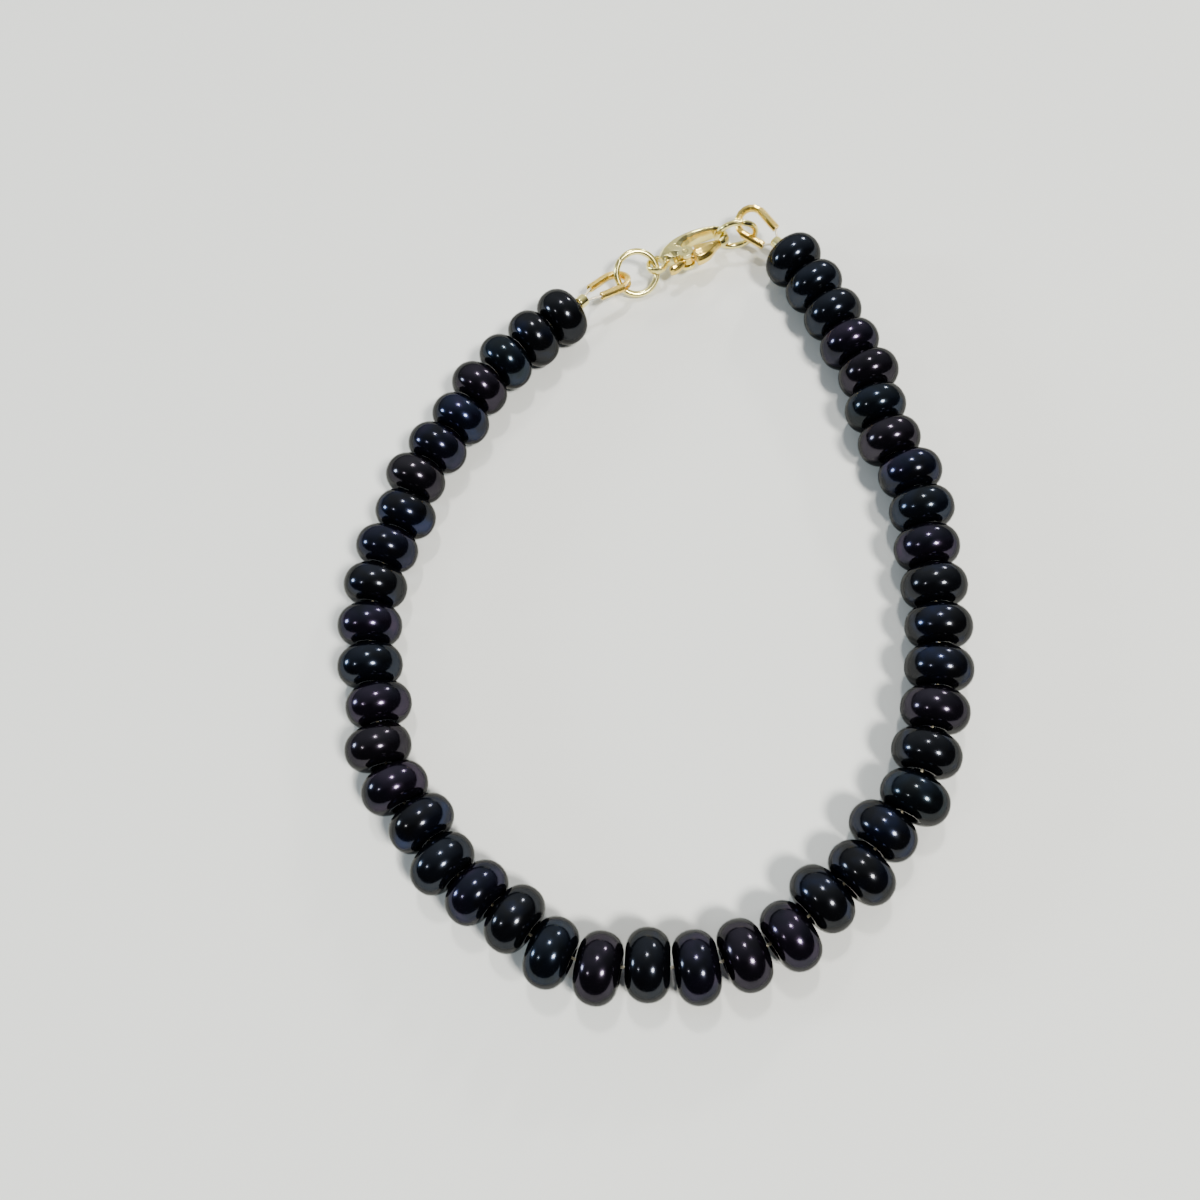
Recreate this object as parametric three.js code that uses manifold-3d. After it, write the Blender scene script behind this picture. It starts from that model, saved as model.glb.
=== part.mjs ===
// Beaded bracelet: black glass rondelles on a clear thread, closed by a lobster clasp between two jump rings.
// Lengths are millimetres and +Z is up. The bracelet lies on its beads as a closed loop round the wrist hollow.
import * as THREE from 'three';
import { mergeVertices } from 'three/addons/utils/BufferGeometryUtils.js';
import Module from 'manifold-3d';

const wasm = await Module();
wasm.setup();

// Loop as it lies; its plan keeps these proportions and grows to hold all the beads
const LOOP_WIDTH = 59;
const LOOP_LENGTH = 76;

// Beads
const BEAD_COUNT = 44;
const BEAD_DIAMETER = 6;
const BEAD_THICKNESS = 3.7;
const BEAD_EDGE = 1.75; // how far the rounded rim reaches in towards the hole
const BEAD_HOLE = 1.2;
const BEAD_GAP = 0.08; // clear space where two beads come closest
const BEAD_SIDES = 12;
const BEAD_RIM_STEPS = 6;

// Clear nylon thread
const THREAD_DIAMETER = 0.3;
const THREAD_SIDES = 6;
const THREAD_CLEARANCE = 0.05; // least space between the thread and what it runs in

// Crimp tubes that hold the thread's ends
const CRIMP_LENGTH = 1;
const CRIMP_DIAMETER = 1.3;
const CRIMP_ROUNDING = 0.1;
const CRIMP_GAP = 0.4; // from the last bead to the crimp
const CRIMP_SIDES = 12;
const STRAND_GAP = 0.1; // between the two strands inside a crimp
const CRIMP_CLEARANCE = 0.12; // round the two strands
const THREAD_FORK = { right: 0.9, left: 1.5 }; // from each crimp to its guard's leg ends

// Thread guards: two tubes joined by an arc whose outer side is an open channel
const GUARD_TUBE = 0.88;
const GUARD_BORE = 0.56;
const GUARD_LEG = 2.6;
const GUARD_SPAN = 2.9; // between the tube centres where the arc meets the legs
const GUARD_FOOT_SPAN = 2.1; // between the tube centres at the leg ends
const GUARD_SIDES = 8;
const GUARD_STEPS = 18;

// Jump rings: outer diameter, wire, and the place of the cut as degrees round the ring
const RING_LEFT = { outer: 5.1, wire: 0.7, cut: -55 };
const RING_RIGHT = { outer: 4.8, wire: 0.65, cut: 100 };
const RING_CUT = 0.12; // width of the cut
const RING_STEP_OUT = 0.12; // how far the two cut ends stand apart sideways
const RING_SIDES = 6;
const RING_STEPS = 20;

// Lobster clasp: x runs from the eye to the tip, y towards the fixed arm, z is square to its face
const CLASP_LENGTH = 9.4;
const CLASP_WIDTH = 3.9;
const CLASP_THICKNESS = 2.3;
const EYE_HOLE = 1.4;
const EYE_WALL = 0.5;
const EYE_THICKNESS = 0.9;
const EYE_SIDES = 14;
const HOOK_WIDTH = 0.62;
const PIVOT_ALONG = 3.05; // from the eye's centre to the pivot
const PIVOT_ASIDE = 0.97; // from the clasp's middle line to the pivot
const CHEEK_RADIUS = 0.82;
const CHEEK_THICKNESS = 1.9;
const CHEEK_SIDES = 16;
const PIN_DIAMETER = 0.5;
const PIN_GAP = 0.06;
const PIN_SIDES = 10;
const LEVER_ROOT = 0.8; // thickness of the lever between the cheeks
const LEVER_GAP = 0.12; // between the lever and what it moves past
const SECTION_SIDES = 10;
const ARM_STEPS = 16;
const SHOULDER_STEPS = 4;
const GATE_STEPS = 5;
const TAB_STEPS = 4;

// How each link is turned about the line between its two contacts, in degrees, its left side up,
// and where the ring pulls on a guard: the turn round its arc, and how far back along the leg from there.
const ROLL = { guardRight: -34, ringRight: 84, clasp: 15, ringLeft: -40, guardLeft: 18 };
const PULL = { guardRight: { turn: 85, back: 0.4 }, guardLeft: { turn: 0, back: 0 } };

// Space along the loop between the wires of a link and the next one
const SLACK = { guardRight: 0.55, ringRight: 0.2, clasp: 0.24, ringLeft: 0.2 };

// Arm of the clasp from its neck to the hook's bend: along in shares of the clasp's length,
// aside and width in shares of its half width, thick in shares of its half thickness.
const ARM = [
  { along: 0.06, aside: 0.05, width: 0.26, thick: 0.4 },
  { along: 0.16, aside: 0.3, width: 0.48, thick: 0.86 },
  { along: 0.27, aside: 0.5, width: 0.5, thick: 1 },
  { along: 0.39, aside: 0.72, width: 0.28, thick: 0.95 },
  { along: 0.54, aside: 0.79, width: 0.2, thick: 0.84 },
  { along: 0.7, aside: 0.64, width: 0.18, thick: 0.74 },
];

// Shoulder of the clasp from its neck to the pivot, in the same shares.
const SHOULDER = [
  { along: 0.12, aside: 0.1, width: 0.34, thick: 0.7 },
  { along: 0.2, aside: 0.1, width: 0.62, thick: 0.96 },
  { along: 0.26, aside: -0.05, width: 0.56, thick: 0.96 },
  { along: 0.335, aside: -0.5, width: 0.36, thick: 0.82 },
];

// Hook of the clasp: back is the distance from the tip in shares of the hook's width.
const HOOK = [
  { back: 1.15, aside: 0.46, thick: 0.66 },
  { back: 0.5, aside: 0, thick: 0.6 },
  { back: 0.72, aside: -0.36, thick: 0.56 },
];
const HOOK_END_THICK = 0.5;

// Gate of the lever from beside the cheeks to its tip: along in shares of the lever's reach
// from the pivot, the rest as for the arm.
const GATE = [
  { along: 0.3, aside: -0.02, width: 0.42, thick: 0.9 },
  { along: 0.55, aside: -0.06, width: 0.37, thick: 0.84 },
  { along: 0.8, aside: -0.04, width: 0.26, thick: 0.66 },
  { along: 1, aside: 0, width: 0.15, thick: 0.46 },
];

// Thumb tab of the lever, outwards from the cheeks, in shares of the cheek's radius and the half thickness.
const TAB = [
  { along: -0.85, aside: -0.55, width: 0.42, thick: 0.4 },
  { along: -1.55, aside: -0.9, width: 0.44, thick: 0.5 },
  { along: -2.25, aside: -1.03, width: 0.5, thick: 0.56 },
  { along: -2.8, aside: -1.03, width: 0.34, thick: 0.42 },
];

// Plan of the whole loop as it lies, from the outer face of the first bead, through the beads,
// the right crimp, the links between their contacts and the left crimp. Places are in shares of the
// loop's width and length, and lift is the height in bead radii.
const ROUTE = [
  { x: 0.055, y: 0.421, lift: 1 },
  { x: -0.138, y: 0.317, lift: 1 },
  { x: -0.346, y: 0.064, lift: 1 },
  { x: -0.36, y: -0.139, lift: 1 },
  { x: -0.326, y: -0.229, lift: 1 },
  { x: -0.141, y: -0.4, lift: 1 },
  { x: 0.106, y: -0.439, lift: 1 },
  { x: 0.373, y: -0.32, lift: 1 },
  { x: 0.482, y: -0.171, lift: 1 },
  { x: 0.523, y: 0.014, lift: 1 },
  { x: 0.511, y: 0.21, lift: 1 },
  { x: 0.482, y: 0.345, lift: 1 },
  { x: 0.437, y: 0.45, lift: 0.98 },
  { x: 0.408, y: 0.492, lift: 0.77 },
  { x: 0.342, y: 0.499, lift: 0.81 },
  { x: 0.212, y: 0.474, lift: 0.66 },
  { x: 0.134, y: 0.461, lift: 0.64 },
  { x: 0.075, y: 0.432, lift: 0.95 },
];

// Beads that sit towards the wrist by their whole play on the thread, and beads that sit away from it
const SITTING_IN = [5, 8, 13, 16, 19, 22, 26, 28, 38, 39];
const SITTING_OUT = [7, 14, 17, 20, 21, 25, 27, 29, 36, 37, 40];

// Sizes that follow from the ones above
const FACE_RADIUS = BEAD_DIAMETER / 2 - BEAD_EDGE;
const HOLE_CLEAR_RADIUS = (BEAD_HOLE / 2) * Math.cos(Math.PI / BEAD_SIDES);
const BEAD_PLAY = HOLE_CLEAR_RADIUS - THREAD_DIAMETER / 2 - THREAD_CLEARANCE;
const STRAND_OFFSET = (THREAD_DIAMETER + STRAND_GAP) / 2;
const CRIMP_BORE_RADIUS = (STRAND_OFFSET + THREAD_DIAMETER / 2 + CRIMP_CLEARANCE) / Math.cos(Math.PI / CRIMP_SIDES);
const GUARD_INNER_RADIUS = (GUARD_SPAN - GUARD_TUBE) / 2;
const CLASP_HALF = CLASP_WIDTH / 2;
const CLASP_DEEP = CLASP_THICKNESS / 2;
const TIP_ALONG = CLASP_LENGTH - EYE_HOLE / 2 - EYE_WALL;
const HOOK_INSIDE = TIP_ALONG - HOOK_WIDTH;
const RING_IN_CLAW = HOOK_INSIDE - SLACK.ringRight - RING_RIGHT.wire / 2;
const LEVER_REACH = Math.hypot(RING_IN_CLAW - PIVOT_ALONG, PIVOT_ASIDE) - RING_RIGHT.wire / 2 - LEVER_GAP;

const MATERIALS = {
  glass: new THREE.MeshStandardMaterial({ color: 0x07070b, roughness: 0.08, metalness: 0 }),
  thread: new THREE.MeshStandardMaterial({ color: 0xe6e0d2, roughness: 0.3, metalness: 0 }),
  paleGold: new THREE.MeshStandardMaterial({ color: 0xe9dc8c, roughness: 0.18, metalness: 1 }),
  warmGold: new THREE.MeshStandardMaterial({ color: 0xe2b24a, roughness: 0.2, metalness: 1 }),
};

const radians = THREE.MathUtils.degToRad;

/** Closed solid of a geometry, for joining and cutting. */
function solidFrom(geometry) {
  const bare = geometry.clone();
  bare.deleteAttribute('normal');
  bare.deleteAttribute('uv');
  const merged = mergeVertices(bare);
  const mesh = new wasm.Mesh({
    numProp: 3,
    vertProperties: new Float32Array(merged.attributes.position.array),
    triVerts: new Uint32Array(merged.index.array),
  });
  return new wasm.Manifold(mesh);
}

/** Geometry of a closed solid. */
function geometryFrom(solid) {
  const { vertProperties, triVerts } = solid.getMesh();
  const geometry = new THREE.BufferGeometry();
  geometry.setAttribute('position', new THREE.BufferAttribute(vertProperties, 3));
  geometry.setIndex(new THREE.BufferAttribute(triVerts, 1));
  geometry.computeVertexNormals();
  return geometry;
}

/** Closed skin through rings of equally many points, with a flat face at each end. */
function loft(rings) {
  const sides = rings[0].length;
  const last = (rings.length - 1) * sides;
  const faces = [];
  for (let base = 0; base < last; base += sides) {
    for (let side = 0; side < sides; side += 1) {
      const here = base + side;
      const next = base + ((side + 1) % sides);
      faces.push(here, next, next + sides, here, next + sides, here + sides);
    }
  }
  for (let side = 1; side < sides - 1; side += 1) {
    faces.push(0, side + 1, side, last, last + side, last + side + 1);
  }
  const geometry = new THREE.BufferGeometry().setFromPoints(rings.flat());
  geometry.setIndex(faces);
  geometry.computeVertexNormals();
  return geometry;
}

/** Points of an ellipse about a centre, spanned by two half axes. */
function sectionRing(centre, across, over, sides) {
  return Array.from({ length: sides }, (_, side) => {
    const angle = (2 * Math.PI * side) / sides;
    return centre.clone().addScaledVector(across, Math.cos(angle)).addScaledVector(over, Math.sin(angle));
  });
}

/** Flat-lying limb through a table of sections, each with its place, half width and half thickness. */
function limb(sections, steps) {
  const centres = new THREE.CatmullRomCurve3(sections.map(({ x, y }) => new THREE.Vector3(x, y, 0)));
  const sizes = new THREE.CatmullRomCurve3(sections.map(({ width, thick }) => new THREE.Vector3(width, thick, 0)));
  const rings = [];
  for (let step = 0; step <= steps; step += 1) {
    const size = sizes.getPoint(step / steps);
    const run = centres.getTangent(step / steps);
    const across = new THREE.Vector3(-run.y, run.x, 0).multiplyScalar(size.x);
    const over = new THREE.Vector3(0, 0, size.y);
    rings.push(sectionRing(centres.getPoint(step / steps), across, over, SECTION_SIDES));
  }
  return loft(rings);
}

/** Thin tube through chosen points, each ring square to the thread there. */
function strand(points, radius, sides) {
  let across = new THREE.Vector3(0, 0, 1);
  const rings = points.map((point, index) => {
    const before = points[Math.max(index - 1, 0)];
    const after = points[Math.min(index + 1, points.length - 1)];
    const run = new THREE.Vector3().subVectors(after, before).normalize();
    across = across.clone().addScaledVector(run, -across.dot(run)).normalize();
    const over = run.clone().cross(across);
    return sectionRing(point, across.clone().multiplyScalar(radius), over.multiplyScalar(radius), sides);
  });
  return loft(rings);
}

/** Regular polygon that stands for a round section. */
function roundSection(radius, sides) {
  const corners = Array.from({ length: sides }, (_, side) => {
    const angle = (2 * Math.PI * side) / sides;
    return new THREE.Vector2(radius * Math.cos(angle), radius * Math.sin(angle));
  });
  return new THREE.Shape(corners);
}

/** Tube along a curve. */
function tube(path, radius, sides, steps) {
  return new THREE.ExtrudeGeometry(roundSection(radius, sides), { extrudePath: path, steps });
}

/** Disc about the z axis. */
function disc(radius, thickness, sides) {
  return new THREE.CylinderGeometry(radius, radius, thickness, sides).rotateX(Math.PI / 2);
}

/** Rondelle with its hole along x: flat round the hole and rounded at the rim. */
function beadGeometry() {
  const half = BEAD_THICKNESS / 2;
  const profile = [new THREE.Vector2(BEAD_HOLE / 2, -half)];
  for (let step = 0; step <= BEAD_RIM_STEPS; step += 1) {
    const angle = Math.PI * (step / BEAD_RIM_STEPS - 0.5);
    profile.push(new THREE.Vector2(FACE_RADIUS + BEAD_EDGE * Math.cos(angle), half * Math.sin(angle)));
  }
  profile.push(new THREE.Vector2(BEAD_HOLE / 2, half), profile[0]);
  return new THREE.LatheGeometry(profile, BEAD_SIDES).rotateZ(-Math.PI / 2);
}

/** Pressed crimp tube along x with room for two strands. */
function crimpGeometry() {
  const half = CRIMP_LENGTH / 2;
  const outer = CRIMP_DIAMETER / 2;
  const rounding = Math.min(CRIMP_ROUNDING, (outer - CRIMP_BORE_RADIUS) / 2);
  const profile = [
    new THREE.Vector2(CRIMP_BORE_RADIUS, -half),
    new THREE.Vector2(outer - rounding, -half),
    new THREE.Vector2(outer, -half + rounding),
    new THREE.Vector2(outer, half - rounding),
    new THREE.Vector2(outer - rounding, half),
    new THREE.Vector2(CRIMP_BORE_RADIUS, half),
  ];
  profile.push(profile[0]);
  return new THREE.LatheGeometry(profile, CRIMP_SIDES).rotateZ(-Math.PI / 2);
}

/** Jump ring about the origin, one wire with its cut ends side by side. */
class RingPath extends THREE.Curve {
  constructor({ outer, wire, cut }) {
    super();
    this.radius = (outer - wire) / 2;
    this.cut = radians(cut);
    this.halfGap = RING_CUT / 2 / this.radius;
  }

  getPoint(share, target = new THREE.Vector3()) {
    const angle = this.cut + this.halfGap + share * 2 * (Math.PI - this.halfGap);
    const aside = RING_STEP_OUT * (share - 0.5);
    return target.set(this.radius * Math.cos(angle), this.radius * Math.sin(angle), aside);
  }
}

function ringGeometry(ring) {
  return tube(new RingPath(ring), ring.wire / 2, RING_SIDES, RING_STEPS);
}

/** Centre line of a thread guard, from its foot on the left side round the arc to the other foot. */
class GuardPath extends THREE.Curve {
  constructor() {
    super();
    this.leg = Math.hypot(GUARD_LEG, (GUARD_SPAN - GUARD_FOOT_SPAN) / 2);
    this.arc = (Math.PI * GUARD_SPAN) / 2;
  }

  getPoint(share, target = new THREE.Vector3()) {
    const length = 2 * this.leg + this.arc;
    const fromMiddle = Math.abs(share - 0.5) * length;
    const side = share < 0.5 ? 1 : -1;
    if (fromMiddle <= this.arc / 2) {
      const angle = (fromMiddle / this.arc) * Math.PI;
      const radius = GUARD_SPAN / 2;
      return target.set(GUARD_LEG + radius * Math.cos(angle), side * radius * Math.sin(angle), 0);
    }
    const down = (fromMiddle - this.arc / 2) / this.leg;
    const spread = THREE.MathUtils.lerp(GUARD_SPAN, GUARD_FOOT_SPAN, down);
    return target.set(GUARD_LEG * (1 - down), (side * spread) / 2, 0);
  }
}

const GUARD_PATH = new GuardPath();

/** Thread guard in the x-y plane, its feet at x = 0 and its arc towards +x. */
function guardGeometry() {
  const body = solidFrom(tube(GUARD_PATH, GUARD_TUBE / 2, GUARD_SIDES, GUARD_STEPS));
  const bore = solidFrom(tube(GUARD_PATH, GUARD_BORE / 2, GUARD_SIDES, GUARD_STEPS));
  const feet = [-1, 1].map((side) => {
    const mouth = new THREE.CylinderGeometry(GUARD_BORE / 2, GUARD_BORE / 2, GUARD_BORE, GUARD_SIDES);
    return solidFrom(mouth.rotateZ(Math.PI / 2).translate(0, (side * GUARD_FOOT_SPAN) / 2, 0));
  });
  const outside = GUARD_SPAN / 2 + GUARD_TUBE;
  const channel = new THREE.Shape();
  channel.absarc(0, 0, outside, -Math.PI / 2, Math.PI / 2);
  channel.absarc(0, 0, GUARD_SPAN / 2, Math.PI / 2, -Math.PI / 2, true);
  const cut = new THREE.ExtrudeGeometry(channel, {
    depth: GUARD_BORE,
    bevelEnabled: false,
    curveSegments: GUARD_STEPS / 2,
  });
  cut.translate(GUARD_LEG, 0, -GUARD_BORE / 2);
  return geometryFrom([bore, ...feet, solidFrom(cut)].reduce((whole, hole) => whole.subtract(hole), body));
}

/** Where a linked ring pulls on the inside of a guard. */
function guardContact({ turn, back }) {
  const along = GUARD_LEG - back + GUARD_INNER_RADIUS * Math.cos(radians(turn));
  return new THREE.Vector3(along, GUARD_INNER_RADIUS * Math.sin(radians(turn)), 0);
}

/** Rounded eye of the clasp about the origin. */
function eyeGeometry() {
  const middle = (EYE_HOLE + EYE_WALL) / 2;
  const profile = Array.from({ length: SECTION_SIDES }, (_, side) => {
    const angle = (2 * Math.PI * side) / SECTION_SIDES;
    return new THREE.Vector2(middle + (EYE_WALL / 2) * Math.cos(angle), (EYE_THICKNESS / 2) * Math.sin(angle));
  });
  profile.push(profile[0]);
  return new THREE.LatheGeometry(profile, EYE_SIDES).rotateX(Math.PI / 2);
}

/** Fixed body of the clasp: eye, arm, hook and the two cheeks that carry the pin. */
function claspBodyGeometry() {
  const sized = ({ along, aside, width, thick }) => ({
    x: along * CLASP_LENGTH,
    y: aside * CLASP_HALF,
    width: width * CLASP_HALF,
    thick: thick * CLASP_DEEP,
  });
  const hook = HOOK.map(({ back, aside, thick }) => ({
    x: TIP_ALONG - back * HOOK_WIDTH,
    y: aside * CLASP_HALF,
    width: HOOK_WIDTH / 2,
    thick: thick * CLASP_DEEP,
  }));
  const end = {
    x: PIVOT_ALONG + LEVER_REACH + LEVER_GAP,
    y: -PIVOT_ASIDE,
    width: HOOK_WIDTH / 2,
    thick: HOOK_END_THICK * CLASP_DEEP,
  };
  const shell = solidFrom(limb([...ARM.map(sized), ...hook, end], ARM_STEPS));
  const shoulder = solidFrom(limb(SHOULDER.map(sized), SHOULDER_STEPS));
  const eye = solidFrom(eyeGeometry());
  const eyeHole = solidFrom(disc(EYE_HOLE / 2, CLASP_THICKNESS, EYE_SIDES));
  const cheeks = solidFrom(disc(CHEEK_RADIUS, CHEEK_THICKNESS, CHEEK_SIDES).translate(PIVOT_ALONG, -PIVOT_ASIDE, 0));
  const slotRadius = CHEEK_RADIUS + 2 * LEVER_GAP;
  const slotGeometry = disc(slotRadius, LEVER_ROOT + 2 * LEVER_GAP, CHEEK_SIDES);
  const slot = solidFrom(slotGeometry.translate(PIVOT_ALONG, -PIVOT_ASIDE, 0));
  const pinHole = solidFrom(pinGeometry(PIN_GAP, 2 * CLASP_THICKNESS).translate(PIVOT_ALONG, -PIVOT_ASIDE, 0));
  const whole = shell.add(shoulder).subtract(eyeHole).add(eye).add(cheeks);
  return geometryFrom(whole.subtract(slot).subtract(pinHole));
}

/** Pin about the origin, or its hole when it is given a gap. */
function pinGeometry(gap, length) {
  return disc(PIN_DIAMETER / 2 + gap, length, PIN_SIDES);
}

/** Lever about its pivot: root plate, gate towards +x and thumb tab. */
function leverGeometry() {
  const gate = GATE.map(({ along, aside, width, thick }) => ({
    x: along * LEVER_REACH,
    y: aside * CLASP_HALF,
    width: width * CLASP_HALF,
    thick: thick * CLASP_DEEP,
  }));
  const tab = TAB.map(({ along, aside, width, thick }) => ({
    x: along * CHEEK_RADIUS,
    y: aside * CHEEK_RADIUS,
    width: width * CHEEK_RADIUS,
    thick: thick * CLASP_DEEP,
  }));
  const rootHalf = LEVER_ROOT / 2;
  const neck = [
    { x: 0, y: 0, width: rootHalf, thick: rootHalf },
    { ...gate[0], x: gate[0].x + LEVER_GAP, thick: rootHalf },
  ];
  const stalk = [{ x: 0, y: 0, width: rootHalf, thick: rootHalf }, { ...tab[1], thick: rootHalf }];
  const root = solidFrom(disc(CHEEK_RADIUS - LEVER_GAP, LEVER_ROOT, CHEEK_SIDES));
  const parts = [limb(gate, GATE_STEPS), limb(tab, TAB_STEPS), limb(neck, 1), limb(stalk, 1)].map(solidFrom);
  const pinHole = solidFrom(pinGeometry(PIN_GAP, CLASP_THICKNESS));
  return geometryFrom(parts.reduce((whole, part) => whole.add(part), root).subtract(pinHole));
}

/** Closed centre line of the loop, grown from its plan by a factor. */
function layRoute(growth) {
  const radius = BEAD_DIAMETER / 2;
  const across = LOOP_WIDTH * growth;
  const along = LOOP_LENGTH * growth;
  const points = ROUTE.map(({ x, y, lift }) => new THREE.Vector3(x * across, y * along, lift * radius));
  const curve = new THREE.CatmullRomCurve3(points, true);
  curve.arcLengthDivisions = 40 * ROUTE.length;
  const length = curve.getLength();
  return {
    length,
    point: (station) => curve.getPointAt(THREE.MathUtils.euclideanModulo(station / length, 1)),
    tangent: (station) => curve.getTangentAt(THREE.MathUtils.euclideanModulo(station / length, 1)),
  };
}

/** How far a bead sits towards the wrist from the thread's middle line. */
function beadAside(number) {
  const share = Number(SITTING_IN.includes(number)) - Number(SITTING_OUT.includes(number));
  return share * BEAD_PLAY;
}

/** Stations of the bead centres, each bead pushed up against the one before. */
function beadStations(route) {
  const stations = [BEAD_THICKNESS / 2];
  for (let number = 1; number < BEAD_COUNT; number += 1) {
    const here = stations[number - 1];
    const turn = route.tangent(here).angleTo(route.tangent(here + BEAD_THICKNESS));
    const bothIn = Math.max(0, Math.min(beadAside(number), beadAside(number + 1)));
    const opening = 2 * (FACE_RADIUS + bothIn) * Math.sin(turn / 2);
    stations.push(here + BEAD_THICKNESS + BEAD_GAP + opening);
  }
  return stations;
}

/** Station beyond another whose straight distance from it is the one given. */
function stationAtDistance(route, from, distance) {
  const start = route.point(from);
  let station = from + distance;
  for (let round = 0; round < 6; round += 1) {
    station += distance - start.distanceTo(route.point(station));
  }
  return station;
}

/** Links in their order from the last bead, with the contacts that each one hangs between. */
function linkTable() {
  const ringRight = new THREE.Vector3(RING_RIGHT.outer / 2 - RING_RIGHT.wire, 0, 0);
  const ringLeft = new THREE.Vector3(RING_LEFT.outer / 2 - RING_LEFT.wire, 0, 0);
  const foot = new THREE.Vector3();
  return [
    { name: 'guardRight', from: foot, to: guardContact(PULL.guardRight) },
    { name: 'ringRight', from: ringRight.clone().negate(), to: ringRight },
    { name: 'clasp', from: new THREE.Vector3(HOOK_INSIDE, 0, 0), to: new THREE.Vector3(-EYE_HOLE / 2, 0, 0) },
    { name: 'ringLeft', from: ringLeft.clone().negate(), to: ringLeft },
    { name: 'guardLeft', from: guardContact(PULL.guardLeft), to: foot },
  ];
}

/** Stations of beads, crimps and links on a route, and where the last of them ends. */
function layPieces(route) {
  const beads = beadStations(route);
  const lastFace = beads[BEAD_COUNT - 1] + BEAD_THICKNESS / 2;
  const crimpRight = lastFace + CRIMP_GAP + CRIMP_LENGTH / 2;
  let next = crimpRight + CRIMP_LENGTH / 2 + THREAD_FORK.right;
  const links = linkTable().map((link) => {
    const start = next;
    const end = stationAtDistance(route, start, link.from.distanceTo(link.to));
    next = end - (SLACK[link.name] ?? 0);
    return { ...link, start, end };
  });
  const crimpLeft = next + THREAD_FORK.left + CRIMP_LENGTH / 2;
  return { beads, crimpRight, crimpLeft, links, end: crimpLeft + CRIMP_LENGTH / 2 + CRIMP_GAP };
}

/** Route whose length is just that of all the pieces on it. */
function fittedRoute() {
  let growth = 1;
  let route = layRoute(growth);
  for (let round = 0; round < 8; round += 1) {
    growth *= layPieces(route).end / route.length;
    route = layRoute(growth);
  }
  return route;
}

/** Hangs an object between two places by two of its own points, with its left side turned up. */
function hang(object, { from, to }, start, end, roll) {
  const run = new THREE.Vector3().subVectors(end, start).normalize();
  const level = new THREE.Vector3(0, 0, 1).cross(run).normalize();
  const left = level.applyAxisAngle(run, radians(roll));
  const frame = new THREE.Matrix4().makeBasis(run, left, run.clone().cross(left));
  const own = new THREE.Matrix4().makeRotationZ(-Math.atan2(to.y - from.y, to.x - from.x));
  object.quaternion.setFromRotationMatrix(frame.multiply(own));
  const middle = from.clone().lerp(to, 0.5).applyQuaternion(object.quaternion);
  object.position.copy(start).lerp(end, 0.5).sub(middle);
  object.updateMatrix();
  return object;
}

function namedMesh(name, geometry, material) {
  const mesh = new THREE.Mesh(geometry, material);
  mesh.name = name;
  return mesh;
}

const route = fittedRoute();
const places = layPieces(route);
const bracelet = new THREE.Group();

// Beads, and the points where the thread crosses from one to the next
const beadShape = beadGeometry();
const beadMouths = places.beads.map((station, index) => {
  const run = route.tangent(station).setZ(0).normalize();
  const inward = new THREE.Vector3(-run.y, run.x, 0);
  const bead = namedMesh(`bead_${String(index + 1).padStart(2, '0')}`, beadShape, MATERIALS.glass);
  bead.position.copy(route.point(station)).setZ(BEAD_DIAMETER / 2);
  bead.position.addScaledVector(inward, beadAside(index + 1));
  bead.rotation.z = Math.atan2(run.y, run.x);
  bracelet.add(bead);
  const reach = run.multiplyScalar(BEAD_THICKNESS / 2);
  return { entry: bead.position.clone().sub(reach), exit: bead.position.clone().add(reach) };
});
const crossings = beadMouths.slice(1).map(({ entry }, index) => entry.clone().lerp(beadMouths[index].exit, 0.5));

// Links between the two crimps
const hung = Object.fromEntries(places.links.map((link) => {
  const holder = new THREE.Group();
  hang(holder, link, route.point(link.start), route.point(link.end), ROLL[link.name]);
  bracelet.add(holder);
  return [link.name, holder];
}));
const guardShape = guardGeometry();
hung.guardRight.add(namedMesh('thread_guard_right', guardShape, MATERIALS.warmGold));
hung.guardLeft.add(namedMesh('thread_guard_left', guardShape, MATERIALS.warmGold));
hung.ringRight.add(namedMesh('jump_ring_right', ringGeometry(RING_RIGHT), MATERIALS.paleGold));
hung.ringLeft.add(namedMesh('jump_ring_left', ringGeometry(RING_LEFT), MATERIALS.paleGold));

const pivot = new THREE.Group();
pivot.position.set(PIVOT_ALONG, -PIVOT_ASIDE, 0);
pivot.add(namedMesh('clasp_lever', leverGeometry(), MATERIALS.warmGold));
pivot.add(namedMesh('clasp_pin', pinGeometry(0, CHEEK_THICKNESS), MATERIALS.paleGold));
hung.clasp.add(namedMesh('clasp_body', claspBodyGeometry(), MATERIALS.paleGold), pivot);

/** Crimp at a station and the ends of its two strands, the one nearer the guard's left foot first. */
function crimpAt(name, station, guard, beadSide) {
  const run = route.tangent(station);
  const crimp = namedMesh(name, crimpGeometry(), MATERIALS.paleGold);
  crimp.position.copy(route.point(station));
  crimp.quaternion.setFromUnitVectors(new THREE.Vector3(1, 0, 0), run);
  bracelet.add(crimp);
  const across = new THREE.Vector3(0, 1, 0).applyQuaternion(guard.quaternion);
  across.addScaledVector(run, -across.dot(run)).setLength(STRAND_OFFSET);
  const toBead = run.clone().multiplyScalar((beadSide * CRIMP_LENGTH) / 2);
  return [across, across.clone().negate()].map((aside) => {
    const middle = crimp.position.clone().add(aside);
    return { beadEnd: middle.clone().add(toBead), guardEnd: middle.clone().sub(toBead) };
  });
}

/** Thread inside a guard, from its left foot to its right foot. */
function guardRun(guard) {
  return GUARD_PATH.getSpacedPoints(GUARD_STEPS).map((point) => point.applyMatrix4(guard.matrix));
}

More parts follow.
